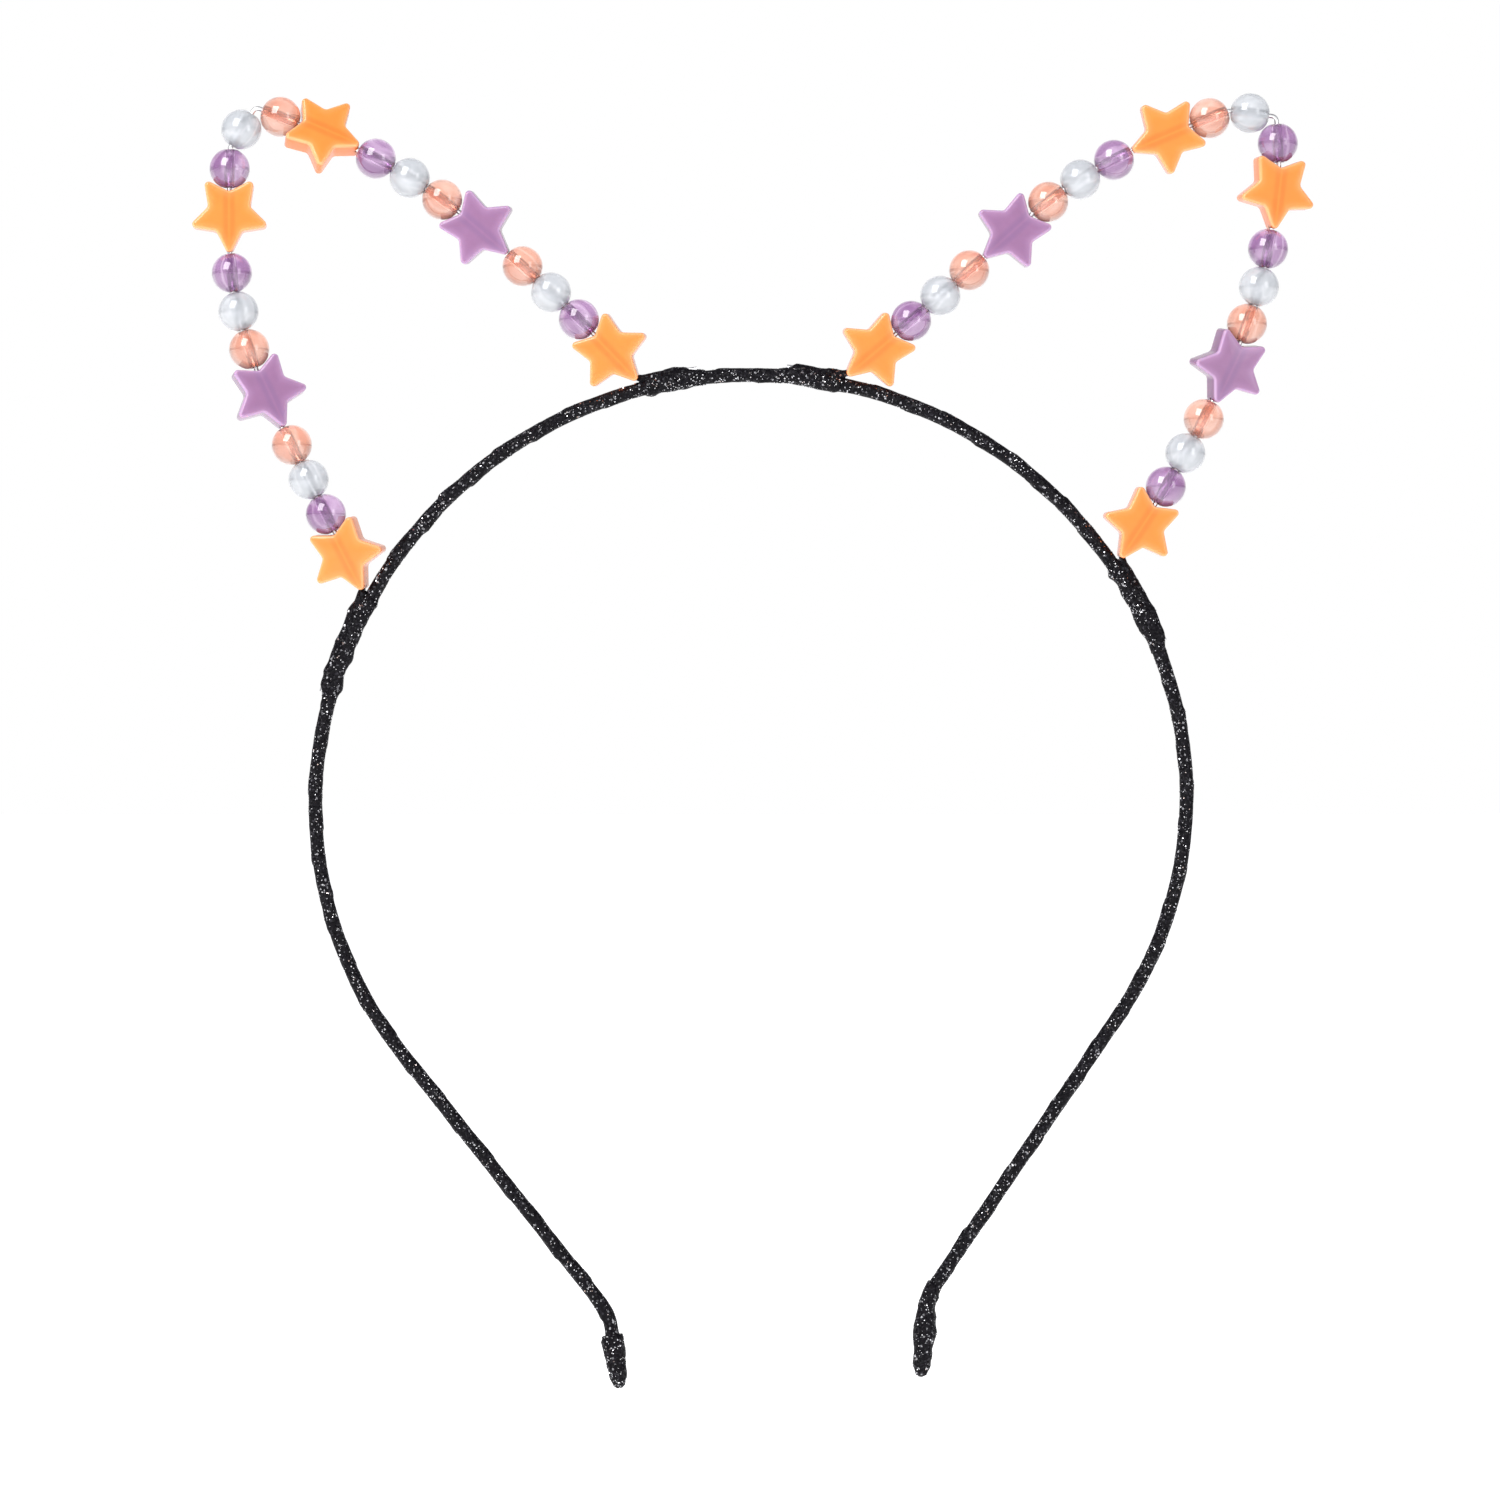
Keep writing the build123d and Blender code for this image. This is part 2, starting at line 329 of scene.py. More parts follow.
def random_cells(tree, scale):
    """Small cells, each with its own random colour, and that colour's channels."""
    cells = textured(tree, "ShaderNodeTexVoronoi", object_coords(tree), Scale=scale, Randomness=1.0)
    tone = add(tree, "ShaderNodeSeparateColor")
    tree.links.new(cells.outputs["Color"], tone.inputs["Color"])
    return cells, tone


def glitter_cloth():
    """Black ribbon crusted with fine glitter: each small cell has its own tone and tilt."""
    material, tree, shader = new_material("glitter_cloth")
    set_sockets(shader, {"Specular IOR Level": 0.1})
    cells, tone = random_cells(tree, 3900.0)
    colour = ramp(
        tree,
        tone.outputs["Red"],
        [
            (0.0, (0.002, 0.002, 0.003)),
            (0.74, (0.004, 0.003, 0.005)),
            (0.88, (0.013, 0.012, 0.016)),
            (0.96, (0.05, 0.048, 0.056)),
            (1.0, (0.5, 0.5, 0.52)),
        ],
    )
    tree.links.new(colour.outputs["Color"], shader.inputs["Base Color"])
    metal = ramp(tree, tone.outputs["Red"], [(0.88, grey(0.0)), (0.95, grey(0.9))])
    tree.links.new(metal.outputs["Color"], shader.inputs["Metallic"])
    rough = ramp(tree, tone.outputs["Green"], [(0.0, grey(0.25)), (1.0, grey(0.6))])
    tree.links.new(rough.outputs["Color"], shader.inputs["Roughness"])
    # Tilt every cell's normal its own way
    centred = vector_math(tree, "SUBTRACT", cells.outputs["Color"])
    centred.inputs[1].default_value = grey(0.5)
    scaled = vector_math(tree, "SCALE", centred.outputs["Vector"])
    scaled.inputs["Scale"].default_value = 1.1
    geometry = add(tree, "ShaderNodeNewGeometry")
    total = vector_math(tree, "ADD", geometry.outputs["Normal"])
    tree.links.new(scaled.outputs["Vector"], total.inputs[1])
    unit = vector_math(tree, "NORMALIZE", total.outputs["Vector"])
    tree.links.new(unit.outputs["Vector"], shader.inputs["Normal"])
    return material


def flake_silver():
    """Bright metal flakes, a few of them tinted."""
    material, tree, shader = new_material("flake_silver")
    set_sockets(shader, {"Metallic": 1.0, "Roughness": 0.22})
    tone = random_cells(tree, 1800.0)[1]
    colour = ramp(
        tree,
        tone.outputs["Blue"],
        [
            (0.0, (0.5, 0.5, 0.54)),
            (0.5, (0.88, 0.88, 0.88)),
            (0.85, (0.7, 0.71, 0.76)),
            (1.0, (0.8, 0.62, 0.54)),
        ],
    )
    tree.links.new(colour.outputs["Color"], shader.inputs["Base Color"])
    return material


def drawn_steel(name, tone, roughness):
    """Drawn wire: fine scratches and slight tarnish."""
    material, tree, shader = new_material(name)
    set_sockets(shader, {"Metallic": 1.0})
    coords = scaled_object_coords(tree, (2500, 2500, 2500))
    scratches = textured(tree, "ShaderNodeTexNoise", coords, Scale=1.0, Detail=5.0, Roughness=0.7)
    dark = tuple(0.78 * c for c in tone)
    colour = ramp(tree, scratches.outputs["Fac"], [(0.35, dark), (0.6, tone)])
    tree.links.new(colour.outputs["Color"], shader.inputs["Base Color"])
    rough = ramp(tree, scratches.outputs["Fac"], [(0.3, grey(roughness)), (0.7, grey(roughness + 0.15))])
    tree.links.new(rough.outputs["Color"], shader.inputs["Roughness"])
    bump_from(tree, shader, scratches.outputs["Fac"], 0.15, 0.00005)
    return material


def cap_rubber():
    """Dull black moulded cap."""
    material, tree, shader = new_material("cap_rubber")
    grain = textured(tree, "ShaderNodeTexNoise", object_coords(tree), Scale=2600.0, Detail=4.0)
    colour = ramp(tree, grain.outputs["Fac"], [(0.3, grey(0.02)), (0.7, grey(0.045))])
    tree.links.new(colour.outputs["Color"], shader.inputs["Base Color"])
    rough = ramp(tree, grain.outputs["Fac"], [(0.0, grey(0.5)), (1.0, grey(0.75))])
    tree.links.new(rough.outputs["Color"], shader.inputs["Roughness"])
    bump_from(tree, shader, grain.outputs["Fac"], 0.2, 0.00005)
    return material


def pale_floor():
    """Matt backlit floor with the faintest mottling."""
    material, tree, shader = new_material("pale_floor")
    set_sockets(shader, {"Roughness": 0.9, "Specular IOR Level": 0.1})
    set_sockets(shader, {"Emission Color": WHITE, "Emission Strength": FLOOR_GLOW})
    fibres = textured(tree, "ShaderNodeTexNoise", object_coords(tree), Scale=60.0, Detail=5.0)
    colour = ramp(tree, fibres.outputs["Fac"], [(0.3, grey(0.93)), (0.7, grey(0.96))])
    tree.links.new(colour.outputs["Color"], shader.inputs["Base Color"])
    return material


CLOTH = glitter_cloth()
FLAKES = flake_silver()
PURPLE_ACRYLIC = acrylic("acrylic_purple", (0.36, 0.18, 0.39), (0.72, 0.53, 0.745), 0.82)
CLEAR_ACRYLIC = acrylic("acrylic_clear", (0.62, 0.645, 0.68), (0.78, 0.8, 0.83), 0.6)
PEACH_ACRYLIC = acrylic("acrylic_peach", (0.82, 0.38, 0.27), (0.95, 0.62, 0.51), 0.82)
ORANGE_PLASTIC = star_plastic(
    "plastic_orange",
    core=(0.86, 0.232, 0.034),
    # side is painted shade (walls a shade darker than the faces); rim is a painted highlight along the
    # rounded edges
    side=(0.84, 0.21, 0.04),
    rim=(0.98, 0.42, 0.18),
    line=(0.77, 0.19, 0.026),
)
PURPLE_PLASTIC = star_plastic(
    "plastic_purple",
    core=(0.272, 0.13, 0.262),
    # side is painted shade (walls a shade darker than the faces); rim is a painted highlight along the
    # rounded edges
    side=(0.25, 0.11, 0.24),
    rim=(0.5, 0.32, 0.52),
    line=(0.24, 0.118, 0.25),
)
BEAD_LOOKS = {
    "purple_bead": (PURPLE_ACRYLIC, "purple_acrylic"),
    "clear_bead": (CLEAR_ACRYLIC, "clear_acrylic"),
    "peach_bead": (PEACH_ACRYLIC, "peach_acrylic"),
    "orange_star": (ORANGE_PLASTIC, "orange_plastic"),
    "purple_star": (PURPLE_PLASTIC, "purple_plastic"),
}


# ---------------------------------------------------------------- mesh helpers


def mesh_from_mm(name, vertices, faces):
    """A mesh from vertices in millimetres."""
    mesh = bpy.data.meshes.new(name)
    mesh.from_pydata([(x * MM, y * MM, z * MM) for x, y, z in vertices], [], faces)
    return mesh


def shade_smooth(mesh):
    """Shade every face of a new mesh smooth."""
    mesh.polygons.foreach_set("use_smooth", [True] * len(mesh.polygons))


def around_line(across, around):
    """The outward direction at an angle about a line, from across it towards the back."""
    return across * math.cos(around) + Vector((0, 1, 0)) * math.sin(around)


def finish_piece(name, vertices, faces, body, materials, face_slots=None):
    """Make a smooth mesh object from millimetre vertices and ride it on a body."""
    mesh = mesh_from_mm(name, vertices, faces)
    for material in materials:
        mesh.materials.append(material)
    if face_slots is not None:
        mesh.polygons.foreach_set("material_index", face_slots)
    shade_smooth(mesh)
    mesh.validate()
    piece = bpy.data.objects.new(name, mesh)
    bpy.context.scene.collection.objects.link(piece)
    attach(piece, body)
    return piece


def tube_faces(rings, sides):
    """Quads of a tube of rings, closed at both ends by fans onto two extra points."""
    faces = []
    for i in range(rings - 1):
        for j in range(sides):
            k = (j + 1) % sides
            faces.append((i * sides + j, i * sides + k, (i + 1) * sides + k, (i + 1) * sides + j))
    first, last = rings * sides, rings * sides + 1
    for j in range(sides):
        k = (j + 1) % sides
        faces.append((first, k, j))
        faces.append((last, (rings - 1) * sides + j, (rings - 1) * sides + k))
    return faces


def revolve(profile, sides, closed):
    """Turn a profile of (axial, radial) points about local X."""
    vertices = []
    for axial, radial in profile:
        for j in range(sides):
            angle = 2 * math.pi * j / sides
            vertices.append((axial, radial * math.cos(angle), radial * math.sin(angle)))
    rings = len(profile)
    faces = []
    for i in range(rings if closed else rings - 1):
        m = (i + 1) % rings
        for j in range(sides):
            k = (j + 1) % sides
            faces.append((i * sides + j, m * sides + j, m * sides + k, i * sides + k))
    return vertices, faces


# ---------------------------------------------------------------- the hoop's route


def half_route(side):
    """Points and headings every RING_STEP from the crown's top down one leg to the end of its tip."""
    runs = [
        (CROWN_RADIUS * math.radians(CROWN_ANGLE[side]), 1 / CROWN_RADIUS),
        (
            TEMPLE_RADIUS[side] * math.radians(90 + LEG_LEAN[side] - CROWN_ANGLE[side]),
            1 / TEMPLE_RADIUS[side],
        ),
        (LEG_LENGTH[side], 0.0),
        (BEND_RADIUS * math.radians(LEG_LEAN[side] - TIP_LEAN[side]), -1 / BEND_RADIUS),
        (TIP_LENGTH[side], 0.0),
    ]
    total = sum(length for length, curvature in runs)
    count = round(total / RING_STEP)
    step = total / count
    ends = np.cumsum([length for length, curvature in runs])
    x, z, heading = 0.0, RIBBON_RADIUS, 0.0
    points = [(x, z, heading)]
    substeps = 8
    for i in range(count * substeps):
        s = (i + 0.5) * step / substeps
        curvature = runs[int(np.searchsorted(ends, s))][1]
        heading += curvature * step / substeps / 2
        x += math.cos(heading) * step / substeps
        z -= math.sin(heading) * step / substeps
        heading += curvature * step / substeps / 2
        if (i + 1) % substeps == 0:
            points.append((x, z, heading))
    return points


def whole_route():
    """Centre points and outward normals from the left tip's end to the right tip's end."""
    centres, normals = [], []
    left, right = half_route("left"), half_route("right")
    for x, z, heading in reversed(left[1:]):
        centres.append(Vector((-x, 0, z)))
        normals.append(Vector((-math.sin(heading), 0, math.cos(heading))))
    for x, z, heading in right:
        centres.append(Vector((x, 0, z)))
        normals.append(Vector((math.sin(heading), 0, math.cos(heading))))
    lengths = [0.0]
    for a, b in zip(centres, centres[1:]):
        lengths.append(lengths[-1] + (b - a).length)
    return centres, normals, lengths


ROUTE, NORMALS, LENGTHS = whole_route()
TOTAL = LENGTHS[-1]


def winding(along, around, pitch, step, overlap, seed):
    """Height of a wound ribbon: each turn's edge steps up, then eases back to the turn below."""
    drift = 0.22 * noise.noise(Vector((along * 0.045, seed, 3.1)))
    phase = along / pitch - around / (2 * math.pi) + drift
    place = phase - math.floor(phase)
    turn = math.floor(phase)
    height = 0.75 + 0.5 * noise.noise(Vector((turn * 1.7, seed, 0.4)))
    edge = step * height * max(0.0, 1 - place / overlap) ** 0.8
    fold = noise.noise(Vector((turn * 2.3 + 0.5, math.cos(around) * 1.3, math.sin(around) * 1.3)))
    edge *= 0.75 + 0.9 * max(0.0, fold)
    ripple = Vector((along * 0.9, math.cos(around) * 1.6 + seed, math.sin(around) * 1.6))
    return edge + 0.05 * noise.noise(ripple)


def scatter_flakes(surface, spans, count, seed):
    """Small tilted flakes on a surface given by a function of (along, around)."""
    source = random.Random(seed)
    vertices, faces = [], []
    for _ in range(count):
        along = source.uniform(*spans)
        around = source.uniform(0, 2 * math.pi)
        point, normal, tangent = surface(along, around)
        tilt = Matrix.Rotation(source.uniform(-FLAKE_TILT, FLAKE_TILT), 3, tangent)
        across = normal.cross(tangent).normalized()
        tilt = Matrix.Rotation(source.uniform(-FLAKE_TILT, FLAKE_TILT), 3, across) @ tilt
        spin = source.uniform(0, math.pi)
        half = source.uniform(*FLAKE_HALF_SIZE)
        first = tilt @ (tangent * math.cos(spin) + across * math.sin(spin)) * half
        second = tilt @ (across * math.cos(spin) - tangent * math.sin(spin)) * half * source.uniform(0.6, 1)
        centre = point + normal * source.uniform(*FLAKE_LIFT)
        base = len(vertices)
        vertices += [centre + first, centre + second, centre - first, centre - second]
        faces.append((base, base + 1, base + 2, base + 3))
    return vertices, faces


def route_at(along):
    """Centre, outward normal and direction of the hoop at a length from the left tip's end."""
    index = min(max(int(np.searchsorted(LENGTHS, along)) - 1, 0), len(ROUTE) - 2)
    share = (along - LENGTHS[index]) / (LENGTHS[index + 1] - LENGTHS[index])
    centre = ROUTE[index].lerp(ROUTE[index + 1], share)
    normal = NORMALS[index].lerp(NORMALS[index + 1], share).normalized()
    return centre, normal, (ROUTE[index + 1] - ROUTE[index]).normalized()


def wrapped_piece(name, node, start, end, radius, flakes, seed):
    """A ribbon-covered stretch of the hoop whose radius is a function of (along, around)."""
    rings = max(8, round((end - start) / RING_STEP)) + 1
    vertices = []
    for i in range(rings):
        along = start + (end - start) * i / (rings - 1)
        centre, normal, direction = route_at(along)
        for j in range(RING_SIDES):
            around = 2 * math.pi * j / RING_SIDES
            vertices.append(centre + around_line(normal, around) * radius(along, around))
    vertices.append(route_at(start)[0])
    vertices.append(route_at(end)[0])
    faces = tube_faces(rings, RING_SIDES)

    def surface(along, around):
        centre, normal, direction = route_at(along)
        outward = around_line(normal, around)
        return centre + outward * radius(along, around), outward, direction

    flake_vertices, flake_faces = scatter_flakes(surface, (start, end), flakes, seed)
    base = len(vertices)
    slots = [0] * len(faces) + [1] * len(flake_faces)
    vertices += flake_vertices
    faces += [tuple(base + k for k in face) for face in flake_faces]
    piece = finish_piece(name, vertices, faces, "headband", [CLOTH, FLAKES], slots)
    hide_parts(node)
    return piece


def smooth(value, low, high):
    """Ease from 0 at low to 1 at high."""
    share = min(1.0, max(0.0, (value - low) / (high - low)))
    return share * share * (3 - 2 * share)


# ---------------------------------------------------------------- hoop ribbon and tips


def hoop_radius(along, around):
    """Radius of the wound ribbon between the two tips."""
    return RIBBON_RADIUS - 0.03 + winding(along, around, TURN_PITCH, RIBBON_STEP, OVERLAP, 1.0)


HOOP_SPAN = (WINDING_START, TOTAL - WINDING_START)
wrapped_piece("hoop_winding", "hoop_ribbon", *HOOP_SPAN, hoop_radius, HOOP_FLAKES, 11)


def make_tip_wrap(side):
    """Ribbon folded over one end of the hoop and bound round it."""
    places, radii = zip(*TIP_PROFILE[side])

    def radius(along, around):
        up = along if side == "left" else TOTAL - along
        base = float(np.interp(up, places, radii))
        fold = 0.1 * noise.noise(Vector((up * 0.8, math.cos(around) * 1.4, math.sin(around) * 1.4 + 7)))
        lift = winding(up, around, TIP_PITCH, TIP_STEP, TIP_OVERLAP, 5.0 if side == "left" else 8.0)
        ends = smooth(up, 0.0, 1.2)
        return base - 0.06 + ends * (lift + fold)

    length = places[-1]
    span = (0.0, length) if side == "left" else (TOTAL - length, TOTAL)
    wrapped_piece(f"{side}_tip_winding", f"{side}_tip_wrap", *span, radius, TIP_FLAKES, 21 + len(side))


make_tip_wrap("left")
make_tip_wrap("right")


# ---------------------------------------------------------------- bindings over the wires' tails


def oval_radius(around, hoop, wire, offset):
    """Distance from the hoop's centre to the hull of two circles, at an angle from outwards."""
    c, s = math.cos(around), math.sin(around)
    turned = abs(math.atan2(s, c))
    reach = wire * wire - (offset * s) ** 2
    cap = offset * c + math.sqrt(reach) if reach > 0 else 0.0
    lean = math.acos((hoop - wire) / offset)
    tangent = math.atan2(wire * math.sin(lean), offset + wire * math.cos(lean))
    if turned < tangent and reach > 0:
        return cap
    if turned < lean:
        return max(hoop, cap, hoop / math.cos(turned - lean))
    return max(hoop, cap)


def make_binding(name, side, near, far, foot_at_far, seed):
    """Ribbon bound over hoop and tail between two angles from the crown's top."""
    sign = SIGN[side]
    left_half = LENGTHS[len(half_route("left")) - 1]
    spans = sorted(left_half + sign * CROWN_RADIUS * math.radians(a) for a in (near, far))
    foot = spans[1] if (sign > 0) == foot_at_far else spans[0]
    tail = spans[0] if foot == spans[1] else spans[1]
    offset = SEAT_RADIUS - CROWN_RADIUS

    def radius(along, around):
        from_foot, from_tail = abs(along - foot), abs(along - tail)
        oval = oval_radius(around, RIBBON_RADIUS + BINDING_WALL, WIRE_RADIUS + BINDING_WALL, offset)
        under = RIBBON_RADIUS + 0.06
        taper = smooth(from_tail, -0.3, 3.2)
        mouth = smooth(from_foot, -0.4, 0.8)
        height = under + (oval - under) * min(taper, mouth)
        lump = 0.2 * math.exp(-((from_tail - 2.2) / 0.9) ** 2) * max(0.0, math.cos(around - 0.4))
        lump += 0.16 * math.exp(-((from_foot - 0.9) / 0.6) ** 2) * max(0.0, math.cos(around - 2.6))
        lift = winding(along, around, BINDING_PITCH, BINDING_STEP, BINDING_OVERLAP, seed)
        place = Vector((along * 0.42, math.cos(around) * 0.9 + seed, math.sin(around) * 0.9))
        lump += 0.42 * noise.noise(place) * smooth(min(from_foot, from_tail), 0.0, 1.5)
        return height - 0.02 + min(taper, 0.3 + 0.7 * mouth) * lift + lump

    wrapped_piece(name + "_winding", name, *spans, radius, BINDING_FLAKES, int(seed * 10))


# ---------------------------------------------------------------- beads


def bead_mesh(kind):
    """A round bead with a straight bore, softened flared mouths and a faint parting ridge."""
    flat = math.sqrt(BEAD_RADIUS**2 - BEAD_MOUTH**2)
    rim = math.asin(BEAD_MOUTH / BEAD_RADIUS)
    profile = []
    for i in range(BEAD_RINGS + 1):
        angle = rim + 0.02 + (math.pi - 2 * rim - 0.04) * i / BEAD_RINGS
        ridge = SEAM_RIDGE * math.exp(-((angle - math.pi / 2) / 0.03) ** 2)
        radius = BEAD_RADIUS - SEAM_RIDGE + ridge
        profile.append((radius * math.cos(angle), radius * math.sin(angle)))
    mouth = [
        (-flat + 0.005, BEAD_MOUTH - 0.05),
        (-flat + 0.06, BEAD_MOUTH - 0.14),
        (-flat + 0.25, BEAD_BORE + 0.12),
        (-flat + 0.5, BEAD_BORE + 0.02),
        (-flat + 0.8, BEAD_BORE),
    ]
    bore = [(-1.2, BEAD_BORE), (-0.4, BEAD_BORE), (0.4, BEAD_BORE), (1.2, BEAD_BORE)]
    profile += mouth + bore + [(-a, r) for a, r in reversed(mouth)]
    vertices, faces = revolve(profile, BEAD_SIDES, closed=True)
    mesh = mesh_from_mm(kind, vertices, faces)
    shade_smooth(mesh)
    mesh.materials.append(BEAD_LOOKS[kind][0])
    return mesh


def star_outline():
    """Points and outward normals of the star's rounded outline, with its notch on local +X."""
    tip_angle = math.radians(STAR_TIP_ANGLE)
    sharp = STAR_REACH + STAR_TIP_ROUNDING * (1 / math.sin(tip_angle) - 1)
    notch_angle = tip_angle + math.radians(36)
    notch = sharp * math.sin(tip_angle) / math.sin(notch_angle)
    points = []
    for i in range(10):
        axis = math.radians(36 * i)
        is_tip = i % 2 == 1
        half = tip_angle if is_tip else notch_angle
        rounding = STAR_TIP_ROUNDING if is_tip else STAR_NOTCH_ROUNDING
        corner = sharp if is_tip else notch
        setback = rounding / math.sin(half)
        centre = corner - setback if is_tip else corner + setback
        spread = math.pi / 2 - half
        count = TIP_POINTS if is_tip else NOTCH_POINTS
        for k in range(count):
            share = -1 + 2 * k / (count - 1)
            if is_tip:
                direction = axis + share * spread
                normal = (math.cos(direction), math.sin(direction))
            else:
                direction = axis + math.pi - share * spread
                normal = (-math.cos(direction), -math.sin(direction))
            x = centre * math.cos(axis) + rounding * math.cos(direction)
            y = centre * math.sin(axis) + rounding * math.sin(direction)
            points.append((x, y, *normal))
    return points


def star_mesh(kind):
    """A star with rounded edges, slightly crowned faces and a bore from its notch to its far tip."""
    outline = star_outline()
    count = len(outline)
    half = STAR_THICKNESS / 2
    rounding = STAR_EDGE_ROUNDING
    levels = []
    for k in range(EDGE_STEPS + 1):
        angle = math.pi / 2 * k / EDGE_STEPS
        levels.append((rounding * (1 - math.cos(angle)), half - rounding + rounding * math.sin(angle)))
    vertices, faces = [], []
    rings = []

    def add_ring(inset, height, scale=1.0):
        rings.append(len(vertices))
        for x, y, nx, ny in outline:
            vertices.append(((x - nx * inset) * scale, (y - ny * inset) * scale, height))

    for scale in FACE_RINGS:
        add_ring(rounding, -half - STAR_CROWN * (1 - scale**2), scale)
    for inset, height in reversed(levels):
        add_ring(inset, -height)
    for inset, height in levels:
        add_ring(inset, height)
    for scale in reversed(FACE_RINGS):
        add_ring(rounding, half + STAR_CROWN * (1 - scale**2), scale)
    for a, b in zip(rings, rings[1:]):
        for j in range(count):
            k = (j + 1) % count
            faces.append((a + j, a + k, b + k, b + j))
    faces.append(tuple(rings[0] + j for j in reversed(range(count))))
    faces.append(tuple(rings[-1] + j for j in range(count)))
    blank = bpy.data.objects.new(kind + "_blank", mesh_from_mm(kind + "_body", vertices, faces))

    notch = outline[NOTCH_POINTS // 2][0]
    profile = [
        (-STAR_REACH - 1, STAR_BORE),
        (notch - 0.6, STAR_BORE),
        (notch - 0.15, STAR_BORE + 0.1),
        (notch + 0.05, STAR_MOUTH),
        (notch + 2, STAR_MOUTH),
    ]
    drill_vertices, drill_faces = revolve(profile, DRILL_SIDES, closed=False)
    last_ring = (len(profile) - 1) * DRILL_SIDES
    drill_faces.append(tuple(range(DRILL_SIDES)))
    drill_faces.append(tuple(last_ring + j for j in reversed(range(DRILL_SIDES))))
    tool = mesh_from_mm(kind + "_drill", drill_vertices, drill_faces)
    drill = bpy.data.objects.new(kind + "_drill", tool)
    for made in (blank, drill):
        bpy.context.scene.collection.objects.link(made)
        clean = bmesh.new()
        clean.from_mesh(made.data)
        bmesh.ops.recalc_face_normals(clean, faces=clean.faces)
        clean.to_mesh(made.data)
        clean.free()
    cut = blank.modifiers.new("bore", "BOOLEAN")
    cut.operation = "DIFFERENCE"
    cut.solver = "EXACT"
    cut.object = drill
    bpy.context.view_layer.update()
    evaluated = blank.evaluated_get(bpy.context.evaluated_depsgraph_get())
    mesh = bpy.data.meshes.new_from_object(evaluated)
    mesh.name = kind
    for made in (blank, drill):
        bpy.data.objects.remove(made)
    shade_smooth(mesh)
    mesh.set_sharp_from_angle(angle=math.radians(SHARP_ANGLE))
    mesh.materials.clear()
    mesh.materials.append(BEAD_LOOKS[kind][0])
    return mesh


def star_facing(node, axis):
    """The direction a star's front face looks, read from its largest flat faces."""
    total = Vector((0, 0, 0))
    for polygon in node.data.polygons:
        normal = polygon.normal
        if abs(normal.dot(axis)) < 0.02:
            total += normal * polygon.area * (1 if normal.y < 0 else -1) * abs(normal.y) ** 8
    return total.normalized()


MESHES = {kind: (star_mesh if kind.endswith("star") else bead_mesh)(kind) for kind in BEAD_LOOKS}


def place_piece(joint):
    """Put one bead or star on its joint, aligned with the wire."""
    node = joint["child"]
    side, _, number, kind = node.split("_", 3)
    axis = Vector(joint["axis"]).normalized()
    towards_point = axis if int(number) <= LAST_RISING_BEAD else -axis
    if kind.endswith("star"):
        facing = star_facing(nodes[node], axis)
    else:
        turned = random.Random(int(number) * 7 + len(side)).uniform(0, 2 * math.pi)
        facing = Matrix.Rotation(turned, 3, axis) @ Vector((0, -1, 0))
    sideways = facing.cross(towards_point).normalized()
    facing = towards_point.cross(sideways)
    piece = bpy.data.objects.new(node + "_look", MESHES[kind])
    rotation = Matrix((towards_point, sideways, facing)).transposed()
    piece.matrix_world = Matrix.Translation(Vector(joint["pos_m"])) @ rotation.to_4x4()
    bpy.context.scene.collection.objects.link(piece)
    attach(piece, node)
    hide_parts(node)


for joint in frame["joints"]:
    place_piece(joint)


# ---------------------------------------------------------------- CAD nodes that keep their shape


def dress(node, material):
    """Give a carried-over piece its material."""
    for slot in nodes[node].material_slots:
        slot.material = material


ear_steel = drawn_steel("ear_wire_steel", (0.92, 0.92, 0.93), 0.2)
dress("core_wire", drawn_steel("hoop_wire_steel", (0.6, 0.6, 0.62), 0.3))
rubber = cap_rubber()
for side in SIGN:
    dress(f"{side}_ear_wire", ear_steel)
    dress(f"{side}_tip_cap", rubber)


# ---------------------------------------------------------------- bindings, from the CAD pieces' own angles


def crown_angle(x, z):
    """Angle of a point from the crown's top, in degrees."""
    return math.degrees(math.atan2(abs(x), z - (RIBBON_RADIUS - CROWN_RADIUS)))


for side in SIGN:
    for place in ("outer", "inner"):
        name = f"{side}_{place}_binding"
        angles = [crown_angle(v.co.x / MM, v.co.z / MM) for v in nodes[name].data.vertices]
        seed = 2.0 + 1.3 * len(side) + (0.7 if place == "outer" else 0.0)
        make_binding(name, side, min(angles), max(angles), place == "inner", seed)


def foot_line(side, number):
    """Where a foot star's outer tip stands on its wire, and the wire's direction away from the hoop."""
    joint = next(j for j in frame["joints"] if j["child"].startswith(f"{side}_ear_{number}_"))
    axis = Vector(joint["axis"]).normalized()
    if number == "21":
        axis = -axis
    return Vector(joint["pos_m"]) / MM - axis * (STAR_REACH + SLEEVE_GAP), axis


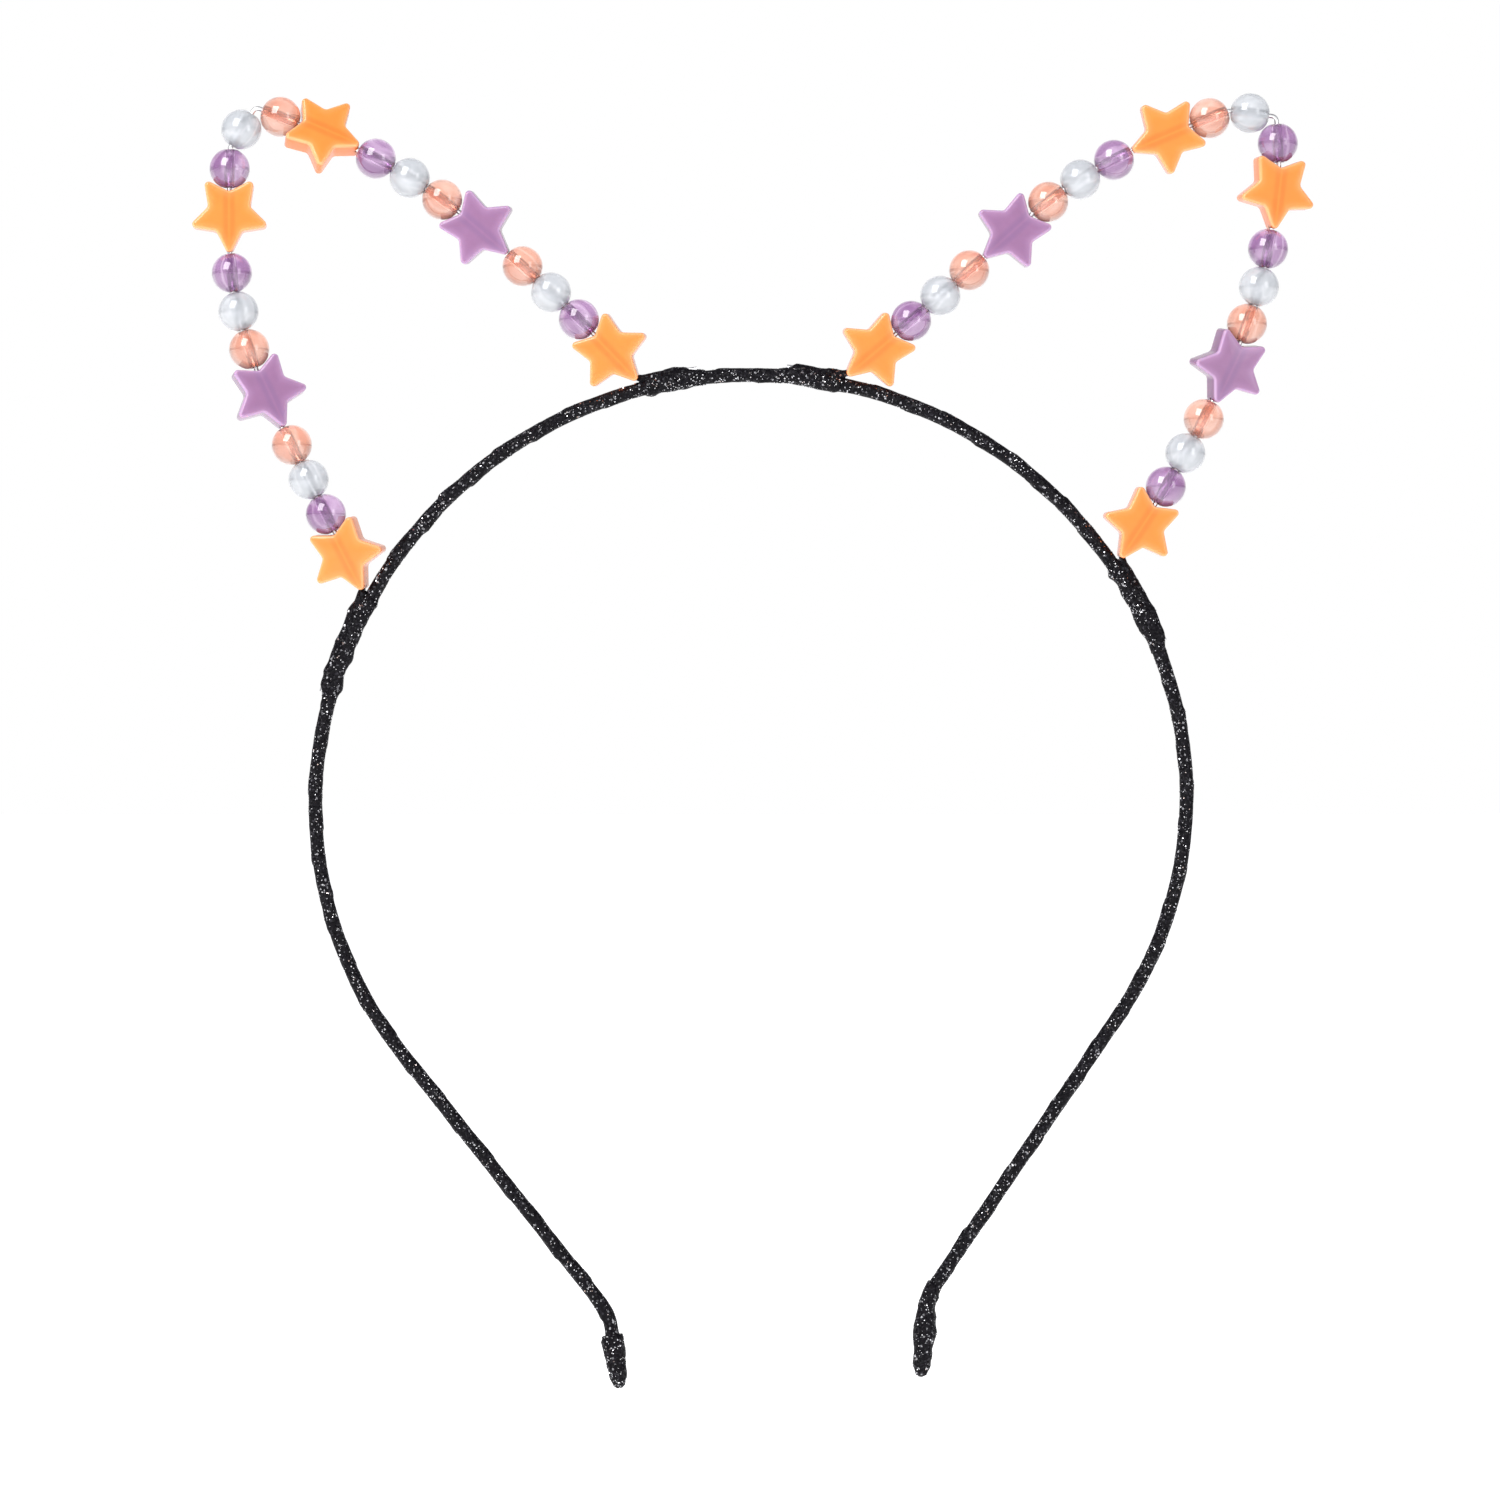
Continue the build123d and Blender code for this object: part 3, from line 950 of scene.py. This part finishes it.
def make_sleeve(side, number, towards_tail):
    """Ribbon wound on from the binding up the ear wire to the foot star."""
    top, axis = foot_line(side, number)
    centre = Vector((0, 0, RIBBON_RADIUS - CROWN_RADIUS))
    near = top - centre
    rise = near.dot(axis)
    drop = rise - math.sqrt(max(rise * rise - near.length_squared + SEAT_RADIUS**2, 0.0))
    landing = top - axis * drop
    out = (landing - centre).normalized()
    along_seat = Vector((out.z, 0, -out.x)) * towards_tail
    path = [top, top.lerp(landing, 0.5), landing + along_seat * 0.25]
    for distance in (1.2, 2.4):
        turned = (out + along_seat * distance / SEAT_RADIUS).normalized()
        path.append(centre + turned * (SEAT_RADIUS - 0.1 * distance))
    curve = bpy.data.curves.new("sleeve_line", "CURVE")
    curve.dimensions = "3D"
    curve.resolution_u = 10
    spline = curve.splines.new("NURBS")
    spline.points.add(len(path) - 1)
    for point, place in zip(spline.points, path):
        point.co = (*place, 1.0)
    spline.order_u = 3
    spline.use_endpoint_u = True
    holder = bpy.data.objects.new("sleeve_line", curve)
    line = [v.co.copy() for v in bpy.data.meshes.new_from_object(holder).vertices]
    bpy.data.objects.remove(holder)
    vertices = []
    seed = len(side) + int(number) * 0.37
    for i, place in enumerate(line):
        ahead = (line[min(i + 1, len(line) - 1)] - line[max(i - 1, 0)]).normalized()
        across = Vector((0, 1, 0)).cross(ahead).normalized()
        share = i / (len(line) - 1)
        for j in range(SLEEVE_SIDES):
            around = 2 * math.pi * j / SLEEVE_SIDES
            fold = noise.noise(Vector((share * 4, math.cos(around) * 1.2 + seed, math.sin(around) * 1.2)))
            radius = SLEEVE_RADIUS + SLEEVE_SWELL * smooth(share, 0.0, 0.35) + SLEEVE_FOLD * fold
            if i == 0:
                radius *= 0.86
            vertices.append(place + around_line(across, around) * radius)
    vertices.append(line[0])
    vertices.append(line[-1])
    faces = tube_faces(len(line), SLEEVE_SIDES)
    finish_piece(f"{side}_foot_{number}_sleeve", vertices, faces, "headband", [CLOTH])


for side, sign in SIGN.items():
    make_sleeve(side, "01", sign)
    make_sleeve(side, "21", -sign)


# ---------------------------------------------------------------- floor, light, camera


def make_floor():
    """A plain pale floor just under the tips, which isn't part of the object."""
    mesh = bpy.data.meshes.new("floor")
    r = FLOOR_REACH
    mesh.from_pydata([(-r, -r, 0), (r, -r, 0), (r, r, 0), (-r, r, 0)], [], [(0, 1, 2, 3)])
    mesh.materials.append(pale_floor())
    floor = bpy.data.objects.new("floor", mesh)
    floor.location.z = cad_low[2] - FLOOR_GAP
    bpy.context.scene.collection.objects.link(floor)


def area_light(name, target, offset, size, power):
    """A rectangular softbox at an offset from the point it is aimed at."""
    place = target + Vector(offset)
    data = bpy.data.lights.new(name, "AREA")
    data.shape = "RECTANGLE"
    data.size, data.size_y = size
    data.energy = power
    light = bpy.data.objects.new(name, data)
    light.location = place
    light.rotation_euler = (target - place).to_track_quat("-Z", "Y").to_euler()
    bpy.context.scene.collection.objects.link(light)


def studio_world():
    """White to the camera, and to reflections a soft grey that darkens towards the sides."""
    world = bpy.data.worlds.new("studio")
    world.use_nodes = True
    bpy.context.scene.world = world
    tree = world.node_tree
    coords = add(tree, "ShaderNodeTexCoord")
    split = add(tree, "ShaderNodeSeparateXYZ")
    tree.links.new(coords.outputs["Generated"], split.inputs["Vector"])
    front_or_back = add(tree, "ShaderNodeMath")
    front_or_back.operation = "ABSOLUTE"
    tree.links.new(split.outputs["Y"], front_or_back.inputs[0])
    stops = [
        (0.0, (0.25, 0.25, 0.27)),
        (0.42, (0.32, 0.32, 0.34)),
        (0.66, (0.6, 0.6, 0.62)),
        (0.88, grey(1.0)),
    ]
    depth = ramp(tree, front_or_back.outputs["Value"], stops)
    path = add(tree, "ShaderNodeLightPath")
    shown = add(tree, "ShaderNodeMix")
    shown.data_type = "RGBA"
    shown.inputs["B"].default_value = WHITE
    tree.links.new(path.outputs["Is Camera Ray"], shown.inputs["Factor"])
    tree.links.new(depth.outputs["Color"], shown.inputs["A"])
    background = tree.nodes["Background"]
    background.inputs["Strength"].default_value = 1.0
    tree.links.new(shown.outputs["Result"], background.inputs["Color"])


def front_camera():
    """A long-lens camera square to the front."""
    data = bpy.data.cameras.new("camera")
    data.sensor_width = SENSOR_WIDTH
    data.lens = SENSOR_WIDTH * DISTANCE / VIEW_WIDTH
    data.clip_end = CLIP_END
    camera = bpy.data.objects.new("camera", data)
    camera.location = CAMERA_PLACE
    camera.rotation_euler = (math.pi / 2, 0, 0)
    bpy.context.scene.collection.objects.link(camera)
    return camera


make_floor()
middle = Vector((cad_low + cad_high) / 2)
area_light("key", middle, **KEY)
area_light("fill", middle, **FILL)
studio_world()
bpy.context.scene.camera = front_camera()
bpy.context.scene.view_settings.view_transform = "Standard"
